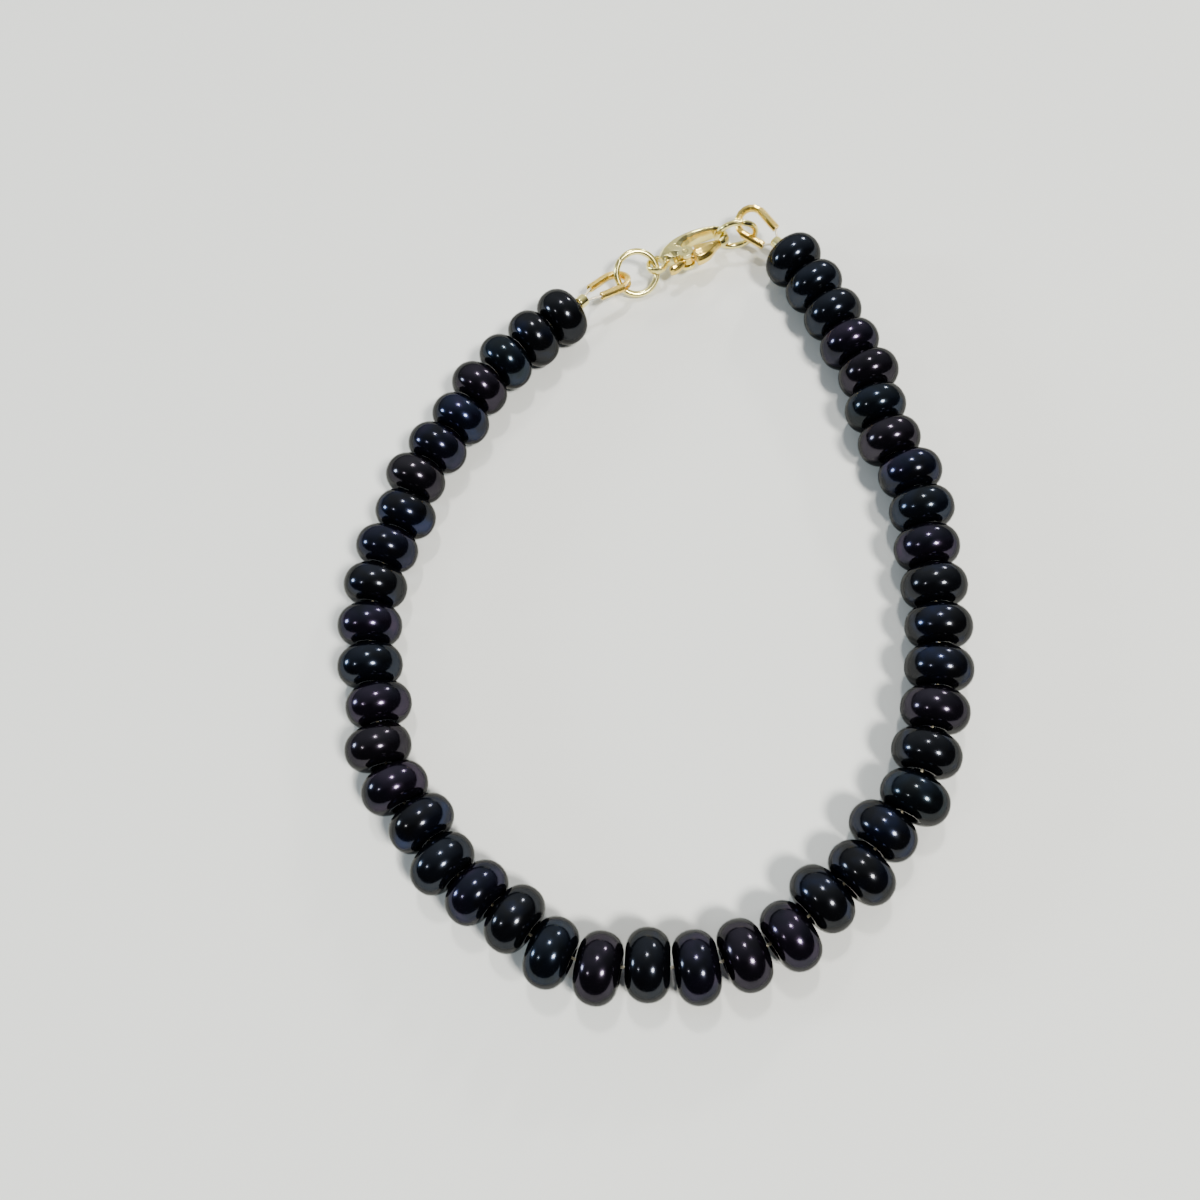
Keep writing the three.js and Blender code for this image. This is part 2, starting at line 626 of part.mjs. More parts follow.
// One thread: cut end in the left crimp, round the left guard, through all beads, round the right guard
const [leftStart, leftTail] = crimpAt('crimp_left', places.crimpLeft, hung.guardLeft, 1);
const [rightStart, rightTail] = crimpAt('crimp_right', places.crimpRight, hung.guardRight, -1);
const threadPoints = [
  leftTail.beadEnd,
  leftTail.guardEnd,
  ...guardRun(hung.guardLeft).reverse(),
  leftStart.guardEnd,
  leftStart.beadEnd,
  ...crossings,
  rightStart.beadEnd,
  rightStart.guardEnd,
  ...guardRun(hung.guardRight),
  rightTail.guardEnd,
  rightTail.beadEnd,
];
bracelet.add(namedMesh('thread', strand(threadPoints, THREAD_DIAMETER / 2, THREAD_SIDES), MATERIALS.thread));

// The loop stands with the middle of its box over the origin
bracelet.updateMatrixWorld(true);
const box = new THREE.Box3().setFromObject(bracelet, true);
const centre = box.getCenter(new THREE.Vector3());
bracelet.position.set(-centre.x, -centre.y, -box.min.z);
bracelet.updateMatrixWorld(true);

export default bracelet;
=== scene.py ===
"""Looks of a beaded bracelet: round-edged black glass beads on clear nylon, with gold findings."""
import logging
import math
from dataclasses import dataclass
from enum import Enum
from typing import Any, Mapping, Sequence

import bmesh
import bpy
import numpy as np
from mathutils import Matrix, Vector


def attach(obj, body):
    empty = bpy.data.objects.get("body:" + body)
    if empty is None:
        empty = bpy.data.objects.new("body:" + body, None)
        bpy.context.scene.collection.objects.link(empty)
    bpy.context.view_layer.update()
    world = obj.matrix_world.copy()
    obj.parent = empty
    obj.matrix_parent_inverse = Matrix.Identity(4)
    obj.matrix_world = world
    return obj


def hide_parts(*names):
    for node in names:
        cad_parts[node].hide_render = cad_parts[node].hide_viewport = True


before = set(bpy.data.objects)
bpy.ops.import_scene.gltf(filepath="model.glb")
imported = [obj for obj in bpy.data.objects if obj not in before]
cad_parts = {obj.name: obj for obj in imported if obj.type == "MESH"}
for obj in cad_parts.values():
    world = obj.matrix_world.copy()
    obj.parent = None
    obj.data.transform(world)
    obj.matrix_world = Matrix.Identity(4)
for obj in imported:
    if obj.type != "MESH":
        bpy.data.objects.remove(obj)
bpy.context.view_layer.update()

LOG = logging.getLogger("bracelet")
MM = 0.001
MERGE = 1e-7  # metres within which two corners are one
FLAT_TURN = math.radians(25)  # facets that meet at less than this are one face
FLAT_SKEW = math.radians(60)  # how far such a face may be from square
SHARP_TURN = math.radians(75)  # edges that turn more than this stay sharp
SHARPNESS = 0.8
SOFTENING = 0.5  # strength of one round of smoothing
Colour = tuple[float, float, float, float]
Stops = tuple[tuple[float, Colour], ...]


class Body(Enum):
    """The rigid bodies that pieces ride on."""

    BRACELET = "bracelet"
    LEVER = "lever"


class Slot(Enum):
    """The material slots of the record."""

    BLACK_GLASS = "black_glass"
    CLEAR_NYLON = "clear_nylon"
    PALE_GOLD = "pale_gold"
    WARM_GOLD = "warm_gold"


# Node building


class Term:
    """A shader value that can stand in sums and products."""

    def __init__(self, graph: "Graph", socket: bpy.types.NodeSocket) -> None:
        """Keeps the graph that the socket belongs to.

        Args:
            graph: The graph that new Math nodes go into.
            socket: The output that carries the value.
        """
        self.graph = graph
        self.socket = socket

    def _with(self, operation: str, first: Any, second: Any = None) -> "Term":
        """Adds a Math node.

        Args:
            operation: The Math node's operation.
            first: The first operand, a Term or a number.
            second: The second operand, where the operation has one.

        Returns:
            The result as a new term.
        """
        values = {0: first} if second is None else {0: first, 1: second}
        node = self.graph.add("ShaderNodeMath", {"operation": operation}, values)
        return Term(self.graph, node.outputs[0])

    def __add__(self, other: Any) -> "Term":
        """Adds."""
        return self._with("ADD", self, other)

    def __radd__(self, other: Any) -> "Term":
        """Adds, with the number in front."""
        return self._with("ADD", other, self)

    def __sub__(self, other: Any) -> "Term":
        """Subtracts."""
        return self._with("SUBTRACT", self, other)

    def __rsub__(self, other: Any) -> "Term":
        """Subtracts from a number."""
        return self._with("SUBTRACT", other, self)

    def __mul__(self, other: Any) -> "Term":
        """Multiplies."""
        return self._with("MULTIPLY", self, other)

    def __rmul__(self, other: Any) -> "Term":
        """Multiplies, with the number in front."""
        return self._with("MULTIPLY", other, self)

    def __pow__(self, other: Any) -> "Term":
        """Raises to a power."""
        return self._with("POWER", self, other)

    def __gt__(self, other: Any) -> "Term":
        """One where greater, else nought."""
        return self._with("GREATER_THAN", self, other)

    def size(self) -> "Term":
        """The value without its sign."""
        return self._with("ABSOLUTE", self)

    def sign(self) -> "Term":
        """Minus one, nought or one."""
        return self._with("SIGN", self)

    def clamped(self) -> "Term":
        """The value held between nought and one."""
        return self._with("MINIMUM", self._with("MAXIMUM", self, 0.0), 1.0)


class Graph:
    """A node tree that is filled one node at a time."""

    def __init__(self, tree: bpy.types.NodeTree) -> None:
        """Keeps the tree.

        Args:
            tree: The tree to fill.
        """
        self.tree = tree

    def add(
        self,
        kind: str,
        settings: Mapping[str, Any] | None = None,
        values: Mapping[Any, Any] | None = None,
    ) -> bpy.types.Node:
        """Adds a node, sets its settings first and then its sockets.

        Args:
            kind: The node's type.
            settings: Attributes of the node; `stops` fills a colour ramp.
            values: Socket name or number to a value, a socket or a term.

        Returns:
            The node.
        """
        node = self.tree.nodes.new(kind)
        for key, value in (settings or {}).items():
            if key == "stops":
                self._fill_ramp(node, value)
            else:
                setattr(node, key, value)
        for key, value in (values or {}).items():
            self.feed(node.inputs[key], value)
        return node

    def feed(self, socket: bpy.types.NodeSocket, value: Any) -> None:
        """Links or sets one input.

        Args:
            socket: The input.
            value: A term, an output socket, or a plain value.
        """
        if isinstance(value, Term):
            value = value.socket
        if isinstance(value, bpy.types.NodeSocket):
            self.tree.links.new(value, socket)
        else:
            socket.default_value = value

    def term(self, socket: bpy.types.NodeSocket) -> Term:
        """Wraps an output for sums."""
        return Term(self, socket)

    def ramp(self, factor: Any, stops: Stops) -> bpy.types.NodeSocket:
        """Looks a value up in a colour ramp.

        Args:
            factor: The value.
            stops: The ramp's stops.

        Returns:
            The colour.
        """
        return self.add("ShaderNodeValToRGB", {"stops": stops}, {"Fac": factor}).outputs["Color"]

    @staticmethod
    def _fill_ramp(node: bpy.types.Node, stops: Stops) -> None:
        """Writes a ramp's stops.

        Args:
            node: The colour ramp.
            stops: Places from nought to one with their colours.
        """
        elements = node.color_ramp.elements
        while len(elements) > 1:
            elements.remove(elements[-1])
        elements[0].position, elements[0].color = stops[0]
        for place, colour in stops[1:]:
            elements.new(place).color = colour


class Finish(Graph):
    """A material under construction, with the nodes that all finishes share."""

    def __init__(self, name: str, slot: Slot | None, shown: Colour) -> None:
        """Starts an empty material.

        Args:
            name: The material's name.
            slot: The record's slot that it belongs to, or None off the part.
            shown: The plain colour for viewports.
        """
        self.material = bpy.data.materials.new(name)
        self.material.use_nodes = True
        self.material.diffuse_color = shown
        self.slot = slot
        super().__init__(self.material.node_tree)
        self.tree.nodes.clear()
        self.shader = self.add("ShaderNodeBsdfPrincipled")
        out = self.add("ShaderNodeOutputMaterial")
        self.tree.links.new(self.shader.outputs[0], out.inputs["Surface"])
        self.place = self.add("ShaderNodeTexCoord").outputs["Object"]

    def noise(self, grain_mm: float, detail: float = 2.0, rough: float = 0.5) -> Term:
        """Noise on the piece's own coordinates.

        Args:
            grain_mm: Rough size of one cloud, in millimetres.
            detail: Number of finer layers.
            rough: Weight of the finer layers.

        Returns:
            A value near 0.5, between nought and one.
        """
        node = self.add(
            "ShaderNodeTexNoise",
            {"noise_dimensions": "3D"},
            {"Vector": self.place, "Scale": 1 / MM / grain_mm, "Detail": detail, "Roughness": rough},
        )
        return self.term(node.outputs["Fac"])

    def blend(self, factor: Any, first: Any, second: Any) -> bpy.types.NodeSocket:
        """Mixes two colours.

        Args:
            factor: Share of the second colour.
            first: A colour or a socket.
            second: A colour or a socket.

        Returns:
            The mixed colour.
        """
        node = self.add("ShaderNodeMix", {"data_type": "RGBA", "clamp_factor": True}, {0: factor})
        self.feed(node.inputs[6], first)
        self.feed(node.inputs[7], second)
        return node.outputs[2]

    def bump(self, height: Any, depth_mm: float, strength: float) -> bpy.types.NodeSocket:
        """Turns a height into a normal.

        Args:
            height: The height, from nought to one.
            depth_mm: Its full depth in millimetres.
            strength: How much of it shows.

        Returns:
            The bent normal.
        """
        values = {"Height": height, "Distance": depth_mm * MM, "Strength": strength}
        return self.add("ShaderNodeBump", None, values).outputs["Normal"]

    def set(self, values: Mapping[str, Any]) -> None:
        """Sets or links sockets of the main shader.

        Args:
            values: Socket name to value or link.
        """
        for key, value in values.items():
            self.feed(self.shader.inputs[key], value)


# Finishes


@dataclass(frozen=True)
class LustreGlass:
    """Black pressed glass under a thin metallic lustre that turns blue, violet or teal."""

    shown: Colour = (0.02, 0.02, 0.03, 1.0)
    body: Colour = (0.008, 0.008, 0.009, 1.0)
    edge: Colour = (0.30, 0.30, 0.28, 1.0)
    tints: Stops = (
        (0.0, (0.020, 0.052, 0.050, 1.0)),
        (0.22, (0.022, 0.034, 0.060, 1.0)),
        (0.42, (0.026, 0.028, 0.032, 1.0)),
        (0.58, (0.020, 0.030, 0.074, 1.0)),
        (0.76, (0.044, 0.031, 0.060, 1.0)),
        (1.0, (0.034, 0.031, 0.036, 1.0)),
    )
    bead_share: float = 0.82
    patch_share: float = 0.5
    hue_start: float = 0.16
    film_contrast: float = 2.6
    film_start: float = 0.85
    film_cover: float = 0.7
    film_least: float = 0.1
    metal: float = 0.90
    film_metal: float = 0.08
    polish: float = 0.13
    grain_dulls: float = 0.08
    index: float = 1.52
    gloss: float = 0.26
    gloss_polish: float = 0.03
    gloss_index: float = 1.45
    patch_mm: float = 2.2
    grain_mm: float = 0.35
    dimple_mm: float = 1.3
    dimple_depth_mm: float = 0.05
    dimple_strength: float = 0.07

    def make(self) -> Finish:
        """Builds the material.

        Returns:
            The finish.
        """
        glass = Finish("black_glass", Slot.BLACK_GLASS, self.shown)
        own = glass.term(glass.add("ShaderNodeAttribute", {"attribute_name": "lustre"}).outputs["Fac"])
        patch = glass.noise(self.patch_mm, 2.0, 0.45)
        grain = glass.noise(self.grain_mm, 3.0, 0.6)
        dimples = glass.noise(self.dimple_mm, 1.0, 0.4)
        hue = (own * self.bead_share + patch * self.patch_share - self.hue_start).clamped()
        film = (patch * self.film_contrast - self.film_start).clamped()
        cover = film * self.film_cover + self.film_least
        glass.set(
            {
                "Base Color": glass.blend(cover, self.body, glass.ramp(hue, self.tints)),
                "Metallic": film * self.film_metal + self.metal,
                "Specular Tint": self.edge,
                "Roughness": grain * self.grain_dulls + self.polish,
                "IOR": self.index,
                "Coat Weight": self.gloss,
                "Coat Roughness": self.gloss_polish,
                "Coat IOR": self.gloss_index,
                "Normal": glass.bump(dimples, self.dimple_depth_mm, self.dimple_strength),
            }
        )
        return glass


class Plating(Enum):
    """The two plating colours that the findings have, as bright and deep tone."""

    PALE = ((0.97, 0.88, 0.44, 1.0), (0.88, 0.74, 0.24, 1.0))
    WARM = ((0.98, 0.78, 0.27, 1.0), (0.90, 0.60, 0.11, 1.0))


@dataclass(frozen=True)
class GoldPlate:
    """Thin gold plating over brass, with fine casting grain and handling marks."""

    name: str
    slot: Slot
    plating: Plating
    cloud_mm: float = 1.1
    grain_mm: float = 0.16
    rub_contrast: float = 2.2
    rub_start: float = 0.75
    rub_brightens: float = 0.8
    grain_brightens: float = 0.2
    polish: float = 0.15
    unrubbed_dulls: float = 0.07
    grain_dulls: float = 0.05
    dents: float = 0.12
    dent_depth_mm: float = 0.04
    cloud_dents: float = 0.7
    grain_dents: float = 0.3

    def make(self) -> Finish:
        """Builds the material.

        Returns:
            The finish.
        """
        bright, deep = self.plating.value
        gold = Finish(self.name, self.slot, bright)
        cloud = gold.noise(self.cloud_mm, 2.0, 0.5)
        grain = gold.noise(self.grain_mm, 3.0, 0.6)
        rubbed = (cloud * self.rub_contrast - self.rub_start).clamped()
        brightness = rubbed * self.rub_brightens + grain * self.grain_brightens
        height = cloud * self.cloud_dents + grain * self.grain_dents
        gold.set(
            {
                "Base Color": gold.blend(brightness, deep, bright),
                "Metallic": 1.0,
                "Roughness": (1.0 - rubbed) * self.unrubbed_dulls + grain * self.grain_dulls + self.polish,
                "Normal": gold.bump(height, self.dent_depth_mm, self.dents),
            }
        )
        return gold


@dataclass(frozen=True)
class ClearNylon:
    """Clear, slightly milky nylon line with a faint drawn grain."""

    colour: Colour = (0.96, 0.89, 0.68, 1.0)
    milky: Colour = (0.85, 0.74, 0.48, 1.0)
    milk_mm: float = 0.5
    milk_dulls: float = 0.12
    polish: float = 0.12
    index: float = 1.53
    clearness: float = 0.2
    drawn_mm: float = 0.12
    drawn_depth_mm: float = 0.01
    drawn_strength: float = 0.2

    def make(self) -> Finish:
        """Builds the material.

        Returns:
            The finish.
        """
        nylon = Finish("clear_nylon", Slot.CLEAR_NYLON, self.colour)
        milk = nylon.noise(self.milk_mm, 2.0, 0.5)
        drawn = nylon.noise(self.drawn_mm, 1.0, 0.5)
        nylon.set(
            {
                "Base Color": nylon.blend(milk, self.colour, self.milky),
                "Roughness": milk * self.milk_dulls + self.polish,
                "IOR": self.index,
                "Transmission Weight": self.clearness,
                "Normal": nylon.bump(drawn, self.drawn_depth_mm, self.drawn_strength),
            }
        )
        return nylon


@dataclass(frozen=True)
class StudioFloor:
    """Plain pale matt floor."""

    colour: Colour = (0.84, 0.85, 0.80, 1.0)
    shaded: Colour = (0.80, 0.81, 0.77, 1.0)
    cloud_mm: float = 60.0
    roughness: float = 0.85
    index: float = 1.3

    def make(self) -> bpy.types.Material:
        """Builds the material.

        Returns:
            The material.
        """
        matt = Finish("pale_floor", None, self.colour)
        cloud = matt.noise(self.cloud_mm, 2.0, 0.5)
        matt.set(
            {
                "Base Color": matt.blend(cloud, self.colour, self.shaded),
                "Roughness": self.roughness,
                "IOR": self.index,
            }
        )
        return matt.material


# Reading the frame


@dataclass(frozen=True)
class Seat:
    """Where a turned piece sits: its middle and its axis."""

    middle: Vector
    axis: Vector

    @classmethod
    def of(cls, node: str) -> "Seat":
        """Finds the seat of a turned CAD node from the spread of its surface.

        Args:
            node: The CAD node.

        Returns:
            Its middle and its axis, in metres.
        """
        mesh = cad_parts[node].data
        mesh.calc_loop_triangles()
        points = np.empty(len(mesh.vertices) * 3)
        mesh.vertices.foreach_get("co", points)
        corners = np.empty(len(mesh.loop_triangles) * 3, dtype=np.int32)
        mesh.loop_triangles.foreach_get("vertices", corners)
        tri = points.reshape(-1, 3)[corners.reshape(-1, 3)]
        area = np.linalg.norm(np.cross(tri[:, 1] - tri[:, 0], tri[:, 2] - tri[:, 0]), axis=1) / 2
        centre = tri.mean(axis=1)
        middle = (centre * area[:, None]).sum(axis=0) / area.sum()
        # Second moment of the skin: a twelfth for each corner of a triangle, nine for its middle
        off, mid = tri - middle, centre - middle
        spread = np.einsum("t,tki,tkj->ij", area, off, off) / 12
        spread += np.einsum("t,ti,tj->ij", area, mid, mid) * 9 / 12
        values, vectors = np.linalg.eigh(spread)
        # A turned piece spreads alike in two directions, and its axis is the third
        lone = 0 if values[1] - values[0] > values[2] - values[1] else 2
        return cls(Vector(middle), Vector(vectors[:, lone]).normalized())


def named(prefix: str) -> list[str]:
    """CAD nodes whose names start with a prefix, in order."""
    return sorted(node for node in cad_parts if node.startswith(prefix))


def finished(
    name: str,
    mesh: bpy.types.Mesh,
    body: Body,
    finish: Finish,
    nodes: Sequence[str],
) -> bpy.types.Object:
    """Puts a finished mesh in the scene in place of its CAD nodes.

    Args:
        name: The piece's name.
        mesh: Its mesh, in place, in metres.
        body: The body that it rides on.
        finish: Its finish.
        nodes: The CAD nodes that it stands for.

    Returns:
        The piece.
    """
    mesh.name = name
    if not mesh.materials:
        mesh.materials.append(finish.material)
    mesh.polygons.foreach_set("use_smooth", [True] * len(mesh.polygons))
    piece = bpy.data.objects.new(name, mesh)
    bpy.context.scene.collection.objects.link(piece)
    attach(piece, body.value)
    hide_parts(*nodes)
    mesh.calc_loop_triangles()
    LOG.info("%s: %d triangles", name, len(mesh.loop_triangles))
    return piece


def baked(source: bpy.types.Object) -> bpy.types.Mesh:
    """Turns an object with its modifiers into a plain mesh and removes the object.

    Args:
        source: The object to evaluate.

    Returns:
        The new mesh.
    """
    bpy.context.view_layer.update()
    graph = bpy.context.evaluated_depsgraph_get()
    mesh = bpy.data.meshes.new_from_object(
        source.evaluated_get(graph), preserve_all_data_layers=True, depsgraph=graph
    )
    source.modifiers.clear()
    bpy.data.objects.remove(source, do_unlink=True)
    return mesh


# Turned pieces


class TurnedTree(Graph):
    """Geometry Nodes tree that puts one turned, drilled shape on every point."""

    INPUTS: tuple[tuple[str, str], ...] = (
        ("Outer Radius", "NodeSocketFloat"),
        ("Face Radius", "NodeSocketFloat"),
        ("Bore Radius", "NodeSocketFloat"),
        ("Half Length", "NodeSocketFloat"),
        ("Squareness", "NodeSocketFloat"),
        ("Rim Steps", "NodeSocketInt"),
        ("Turn Steps", "NodeSocketInt"),
        ("Smallest", "NodeSocketFloat"),
        ("Seed", "NodeSocketInt"),
        ("Finish", "NodeSocketMaterial"),
    )
    SHADE_SEED = 11.0  # added to the seed of the sizes for that of the shades

    def __init__(self) -> None:
        """Builds the tree."""
        super().__init__(bpy.data.node_groups.new("turned_pieces", "GeometryNodeTree"))
        faces = self.tree.interface
        faces.new_socket("Geometry", in_out="INPUT", socket_type="NodeSocketGeometry")
        self.keys: dict[str, str] = {}
        for label, kind in self.INPUTS:
            self.keys[label] = faces.new_socket(label, in_out="INPUT", socket_type=kind).identifier
        faces.new_socket("Geometry", in_out="OUTPUT", socket_type="NodeSocketGeometry")
        self._fill()

    def _turned(self, given: Mapping[str, bpy.types.NodeSocket]) -> bpy.types.NodeSocket:
        """Adds the nodes that turn one piece from its section.

        Args:
            given: The tree's inputs.

        Returns:
            The piece's mesh.
        """
        rim = self.add(
            "GeometryNodeCurvePrimitiveCircle",
            {"mode": "RADIUS"},
            {"Resolution": given["Rim Steps"], "Radius": 1.0},
        )
        position = self.add("GeometryNodeInputPosition").outputs[0]
        place = self.add("ShaderNodeSeparateXYZ", None, {0: position})
        along, up = self.term(place.outputs["X"]), self.term(place.outputs["Y"])
        square = self.term(given["Squareness"])
        outer, face = self.term(given["Outer Radius"]), self.term(given["Face Radius"])
        bore = self.term(given["Bore Radius"])
        outside = along > 0.0
        reach = outside * (outer - face) + (1.0 - outside) * (face - bore)
        bulge = along.sign() * along.size() ** square * reach
        height = up.sign() * up.size() ** square * self.term(given["Half Length"])
        spot = self.add("ShaderNodeCombineXYZ", None, {"X": bulge, "Y": height, "Z": 0.0})
        section = self.add(
            "GeometryNodeSetPosition",
            None,
            {"Geometry": rim.outputs["Curve"], "Position": spot.outputs[0]},
        )
        turn = self.add(
            "GeometryNodeCurvePrimitiveCircle",
            {"mode": "RADIUS"},
            {"Resolution": given["Turn Steps"], "Radius": face},
        )
        shell = self.add(
            "GeometryNodeCurveToMesh",
            None,
            {"Curve": turn.outputs["Curve"], "Profile Curve": section.outputs["Geometry"]},
        )
        return shell.outputs["Mesh"]

    def _random(self, least: Any, seed: Any) -> bpy.types.NodeSocket:
        """Adds a random value of at most one for each piece.

        Args:
            least: The least value.
            seed: The seed.

        Returns:
            The value.
        """
        node = self.add(
            "FunctionNodeRandomValue", {"data_type": "FLOAT"}, {"Min": least, "Max": 1.0, "Seed": seed}
        )
        return next(output for output in node.outputs if output.enabled)

    def _fill(self) -> None:
        """Adds the nodes that put the piece on every point and give it its size and shade."""
        given = self.add("NodeGroupInput").outputs
        axis = self.add(
            "GeometryNodeInputNamedAttribute", {"data_type": "FLOAT_VECTOR"}, {"Name": "axis"}
        )
        lean = self.add(
            "FunctionNodeAlignRotationToVector", {"axis": "Z"}, {"Vector": axis.outputs["Attribute"]}
        )
        pieces = self.add(
            "GeometryNodeInstanceOnPoints",
            None,
            {
                "Points": given["Geometry"],
                "Instance": self._turned(given),
                "Rotation": lean.outputs["Rotation"],
                "Scale": self._random(given["Smallest"], given["Seed"]),
            },
        )
        tinted = self.add(
            "GeometryNodeStoreNamedAttribute",
            {"data_type": "FLOAT", "domain": "INSTANCE"},
            {
                "Geometry": pieces.outputs["Instances"],
                "Name": "lustre",
                "Value": self._random(0.0, self.term(given["Seed"]) + self.SHADE_SEED),
            },
        )
        whole = self.add("GeometryNodeRealizeInstances", None, {"Geometry": tinted.outputs["Geometry"]})
        dressed = self.add(
            "GeometryNodeSetMaterial",
            None,
            {"Geometry": whole.outputs["Geometry"], "Material": given["Finish"]},
        )
        out = self.add("NodeGroupOutput")
        self.tree.links.new(dressed.outputs["Geometry"], out.inputs["Geometry"])

    def run(self, seats: Sequence[Seat], values: Mapping[str, Any]) -> bpy.types.Mesh:
        """Makes one mesh of all the pieces.

        Args:
            seats: Where the pieces sit.
            values: The tree's inputs by name.

        Returns:
            The plain mesh.
        """
        mesh = bpy.data.meshes.new("seats")
        mesh.from_pydata([tuple(seat.middle) for seat in seats], [], [])
        axes = mesh.attributes.new("axis", "FLOAT_VECTOR", "POINT")
        axes.data.foreach_set("vector", [v for seat in seats for v in seat.axis])
        carrier = bpy.data.objects.new("seats", mesh)
        bpy.context.scene.collection.objects.link(carrier)
        modifier = carrier.modifiers.new("turned", "NODES")
        modifier.node_group = self.tree
        for label, value in values.items():
            modifier[self.keys[label]] = value
        return outward(baked(carrier))


def outward(mesh: bpy.types.Mesh) -> bpy.types.Mesh:
    """Makes every face of a closed mesh point outwards.

    Args:
        mesh: The mesh, changed in place.

    Returns:
        The same mesh.
    """
    form = bmesh.new()
    form.from_mesh(mesh)
    bmesh.ops.remove_doubles(form, verts=form.verts, dist=MERGE)
    bmesh.ops.recalc_face_normals(form, faces=form.faces)
    form.to_mesh(mesh)
    form.free()
    return mesh


@dataclass
class BeadString:
    """The glass rondelles, with sizes in millimetres, and the nylon line that they hang on."""

    diameter: float = 6.0
    thickness: float = 3.7
    face: float = 2.5
    fullness: float = 0.96
    hole: float = 1.2
    smallest: float = 0.992  # share of the full size
    rim_steps: int = 30
    turn_steps: int = 46
    line_levels: int = 1
    seed: int = 5

    def build(self, tree: TurnedTree, glass: Finish, nylon: Finish) -> list[bpy.types.Object]:
        """Makes the beads and the line.

        Args:
            tree: The tree for turned pieces.
            glass: The beads' finish.
            nylon: The line's finish.

        Returns:
            The pieces.
        """
        nodes = named("bead_")
        mesh = tree.run(
            [Seat.of(node) for node in nodes],
            {
                "Outer Radius": self.diameter / 2 * MM,
                "Face Radius": self.face / 2 * MM,
                "Bore Radius": self.hole / 2 * MM,
                "Half Length": self.thickness / 2 * MM,
                "Squareness": self.fullness,
                "Rim Steps": self.rim_steps,
                "Turn Steps": self.turn_steps,
                "Smallest": self.smallest,
                "Seed": self.seed,
                "Finish": glass.material,
            },
        )
        beads = finished("glass_beads", mesh, Body.BRACELET, glass, nodes)
        line = rounded("thread", self.line_levels)
        return [beads, finished("nylon_line", line, Body.BRACELET, nylon, ["thread"])]


@dataclass
class Crimps:
    """The two rounded crimps that hold the line's ends, with sizes in millimetres."""

    diameter: float = 1.3
    length: float = 1.0
    bore: float = 0.96
    fullness: float = 0.55
    rim_steps: int = 28
    turn_steps: int = 40
    seed: int = 2

    def build(self, tree: TurnedTree, gold: Finish) -> list[bpy.types.Object]:
        """Makes both crimps as one piece.

        Args:
            tree: The tree for turned pieces.
            gold: Their finish.

        Returns:
            The piece.
        """
        nodes = named("crimp_")
        mesh = tree.run(
            [Seat.of(node) for node in nodes],
            {
                "Outer Radius": self.diameter / 2 * MM,
                "Face Radius": (self.diameter + self.bore) / 4 * MM,
                "Bore Radius": self.bore / 2 * MM,
                "Half Length": self.length / 2 * MM,
                "Squareness": self.fullness,
                "Rim Steps": self.rim_steps,
                "Turn Steps": self.turn_steps,
                "Smallest": 1.0,
                "Seed": self.seed,
                "Finish": gold.material,
            },
        )
        return [finished("crimp_tubes", mesh, Body.BRACELET, gold, nodes)]


# Bent and cast pieces


def merged_copy(node: str) -> bmesh.types.BMesh:
    """A CAD node's shape with its corners joined, for further work.

    Args:
        node: The CAD node.

    Returns:
        The shape as a BMesh, in metres.
    """
    form = bmesh.new()
    form.from_mesh(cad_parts[node].data)
    bmesh.ops.remove_doubles(form, verts=form.verts, dist=MERGE)
    return form


def rounded(node: str, levels: int, swell_mm: float = 0.0) -> bpy.types.Mesh:
    """Rounds a swept CAD node by subdivision and keeps its sharp cut ends.

    Args:
        node: The CAD node.
        levels: Levels of subdivision.
        swell_mm: How far the skin moves out first, which makes up for what rounding takes.

    Returns:
        The finer mesh.
    """
    form = merged_copy(node)
    bmesh.ops.join_triangles(
        form, faces=form.faces, angle_face_threshold=FLAT_TURN, angle_shape_threshold=FLAT_SKEW
    )
    form.normal_update()
    crease = form.edges.layers.float.new("crease_edge")
    for edge in form.edges:
        if edge.calc_face_angle(0.0) > SHARP_TURN:
            edge[crease] = SHARPNESS
    if swell_mm:
        for vert in form.verts:
            vert.co += vert.normal * swell_mm * MM
    mesh = bpy.data.meshes.new(node)
    form.to_mesh(mesh)
    form.free()
    source = bpy.data.objects.new(node + "_rounded", mesh)
    bpy.context.scene.collection.objects.link(source)
    smooth = source.modifiers.new("round", "SUBSURF")
    smooth.levels = smooth.render_levels = levels
    result = baked(source)
    crease_layer = result.attributes.get("crease_edge")
    if crease_layer is not None:
        result.attributes.remove(crease_layer)
    return result


def cast(
    node: str, voxel_mm: float, rounds: int, form: bmesh.types.BMesh | None = None
) -> bpy.types.Mesh:
    """Rounds a CAD node as a casting is: an even skin whose edges are softened.

    Args:
        node: The CAD node.
        voxel_mm: Size of the skin's facets.
        rounds: Rounds of smoothing.
        form: A reshaped copy to use in place of the node's own shape.

    Returns:
        The finer mesh.
    """
    form = form or merged_copy(node)
    mesh = bpy.data.meshes.new(node)
    form.to_mesh(mesh)
    form.free()
    mesh.transform(Matrix.Scale(1 / MM, 4))
    source = bpy.data.objects.new(node + "_cast", mesh)
    bpy.context.scene.collection.objects.link(source)
    skin = source.modifiers.new("skin", "REMESH")
    skin.mode = "VOXEL"
    skin.voxel_size = voxel_mm
    skin.adaptivity = 0.0
    soften = source.modifiers.new("soften", "SMOOTH")
    soften.factor = SOFTENING
    soften.iterations = rounds
    result = baked(source)
    result.transform(Matrix.Scale(MM, 4))
    return result


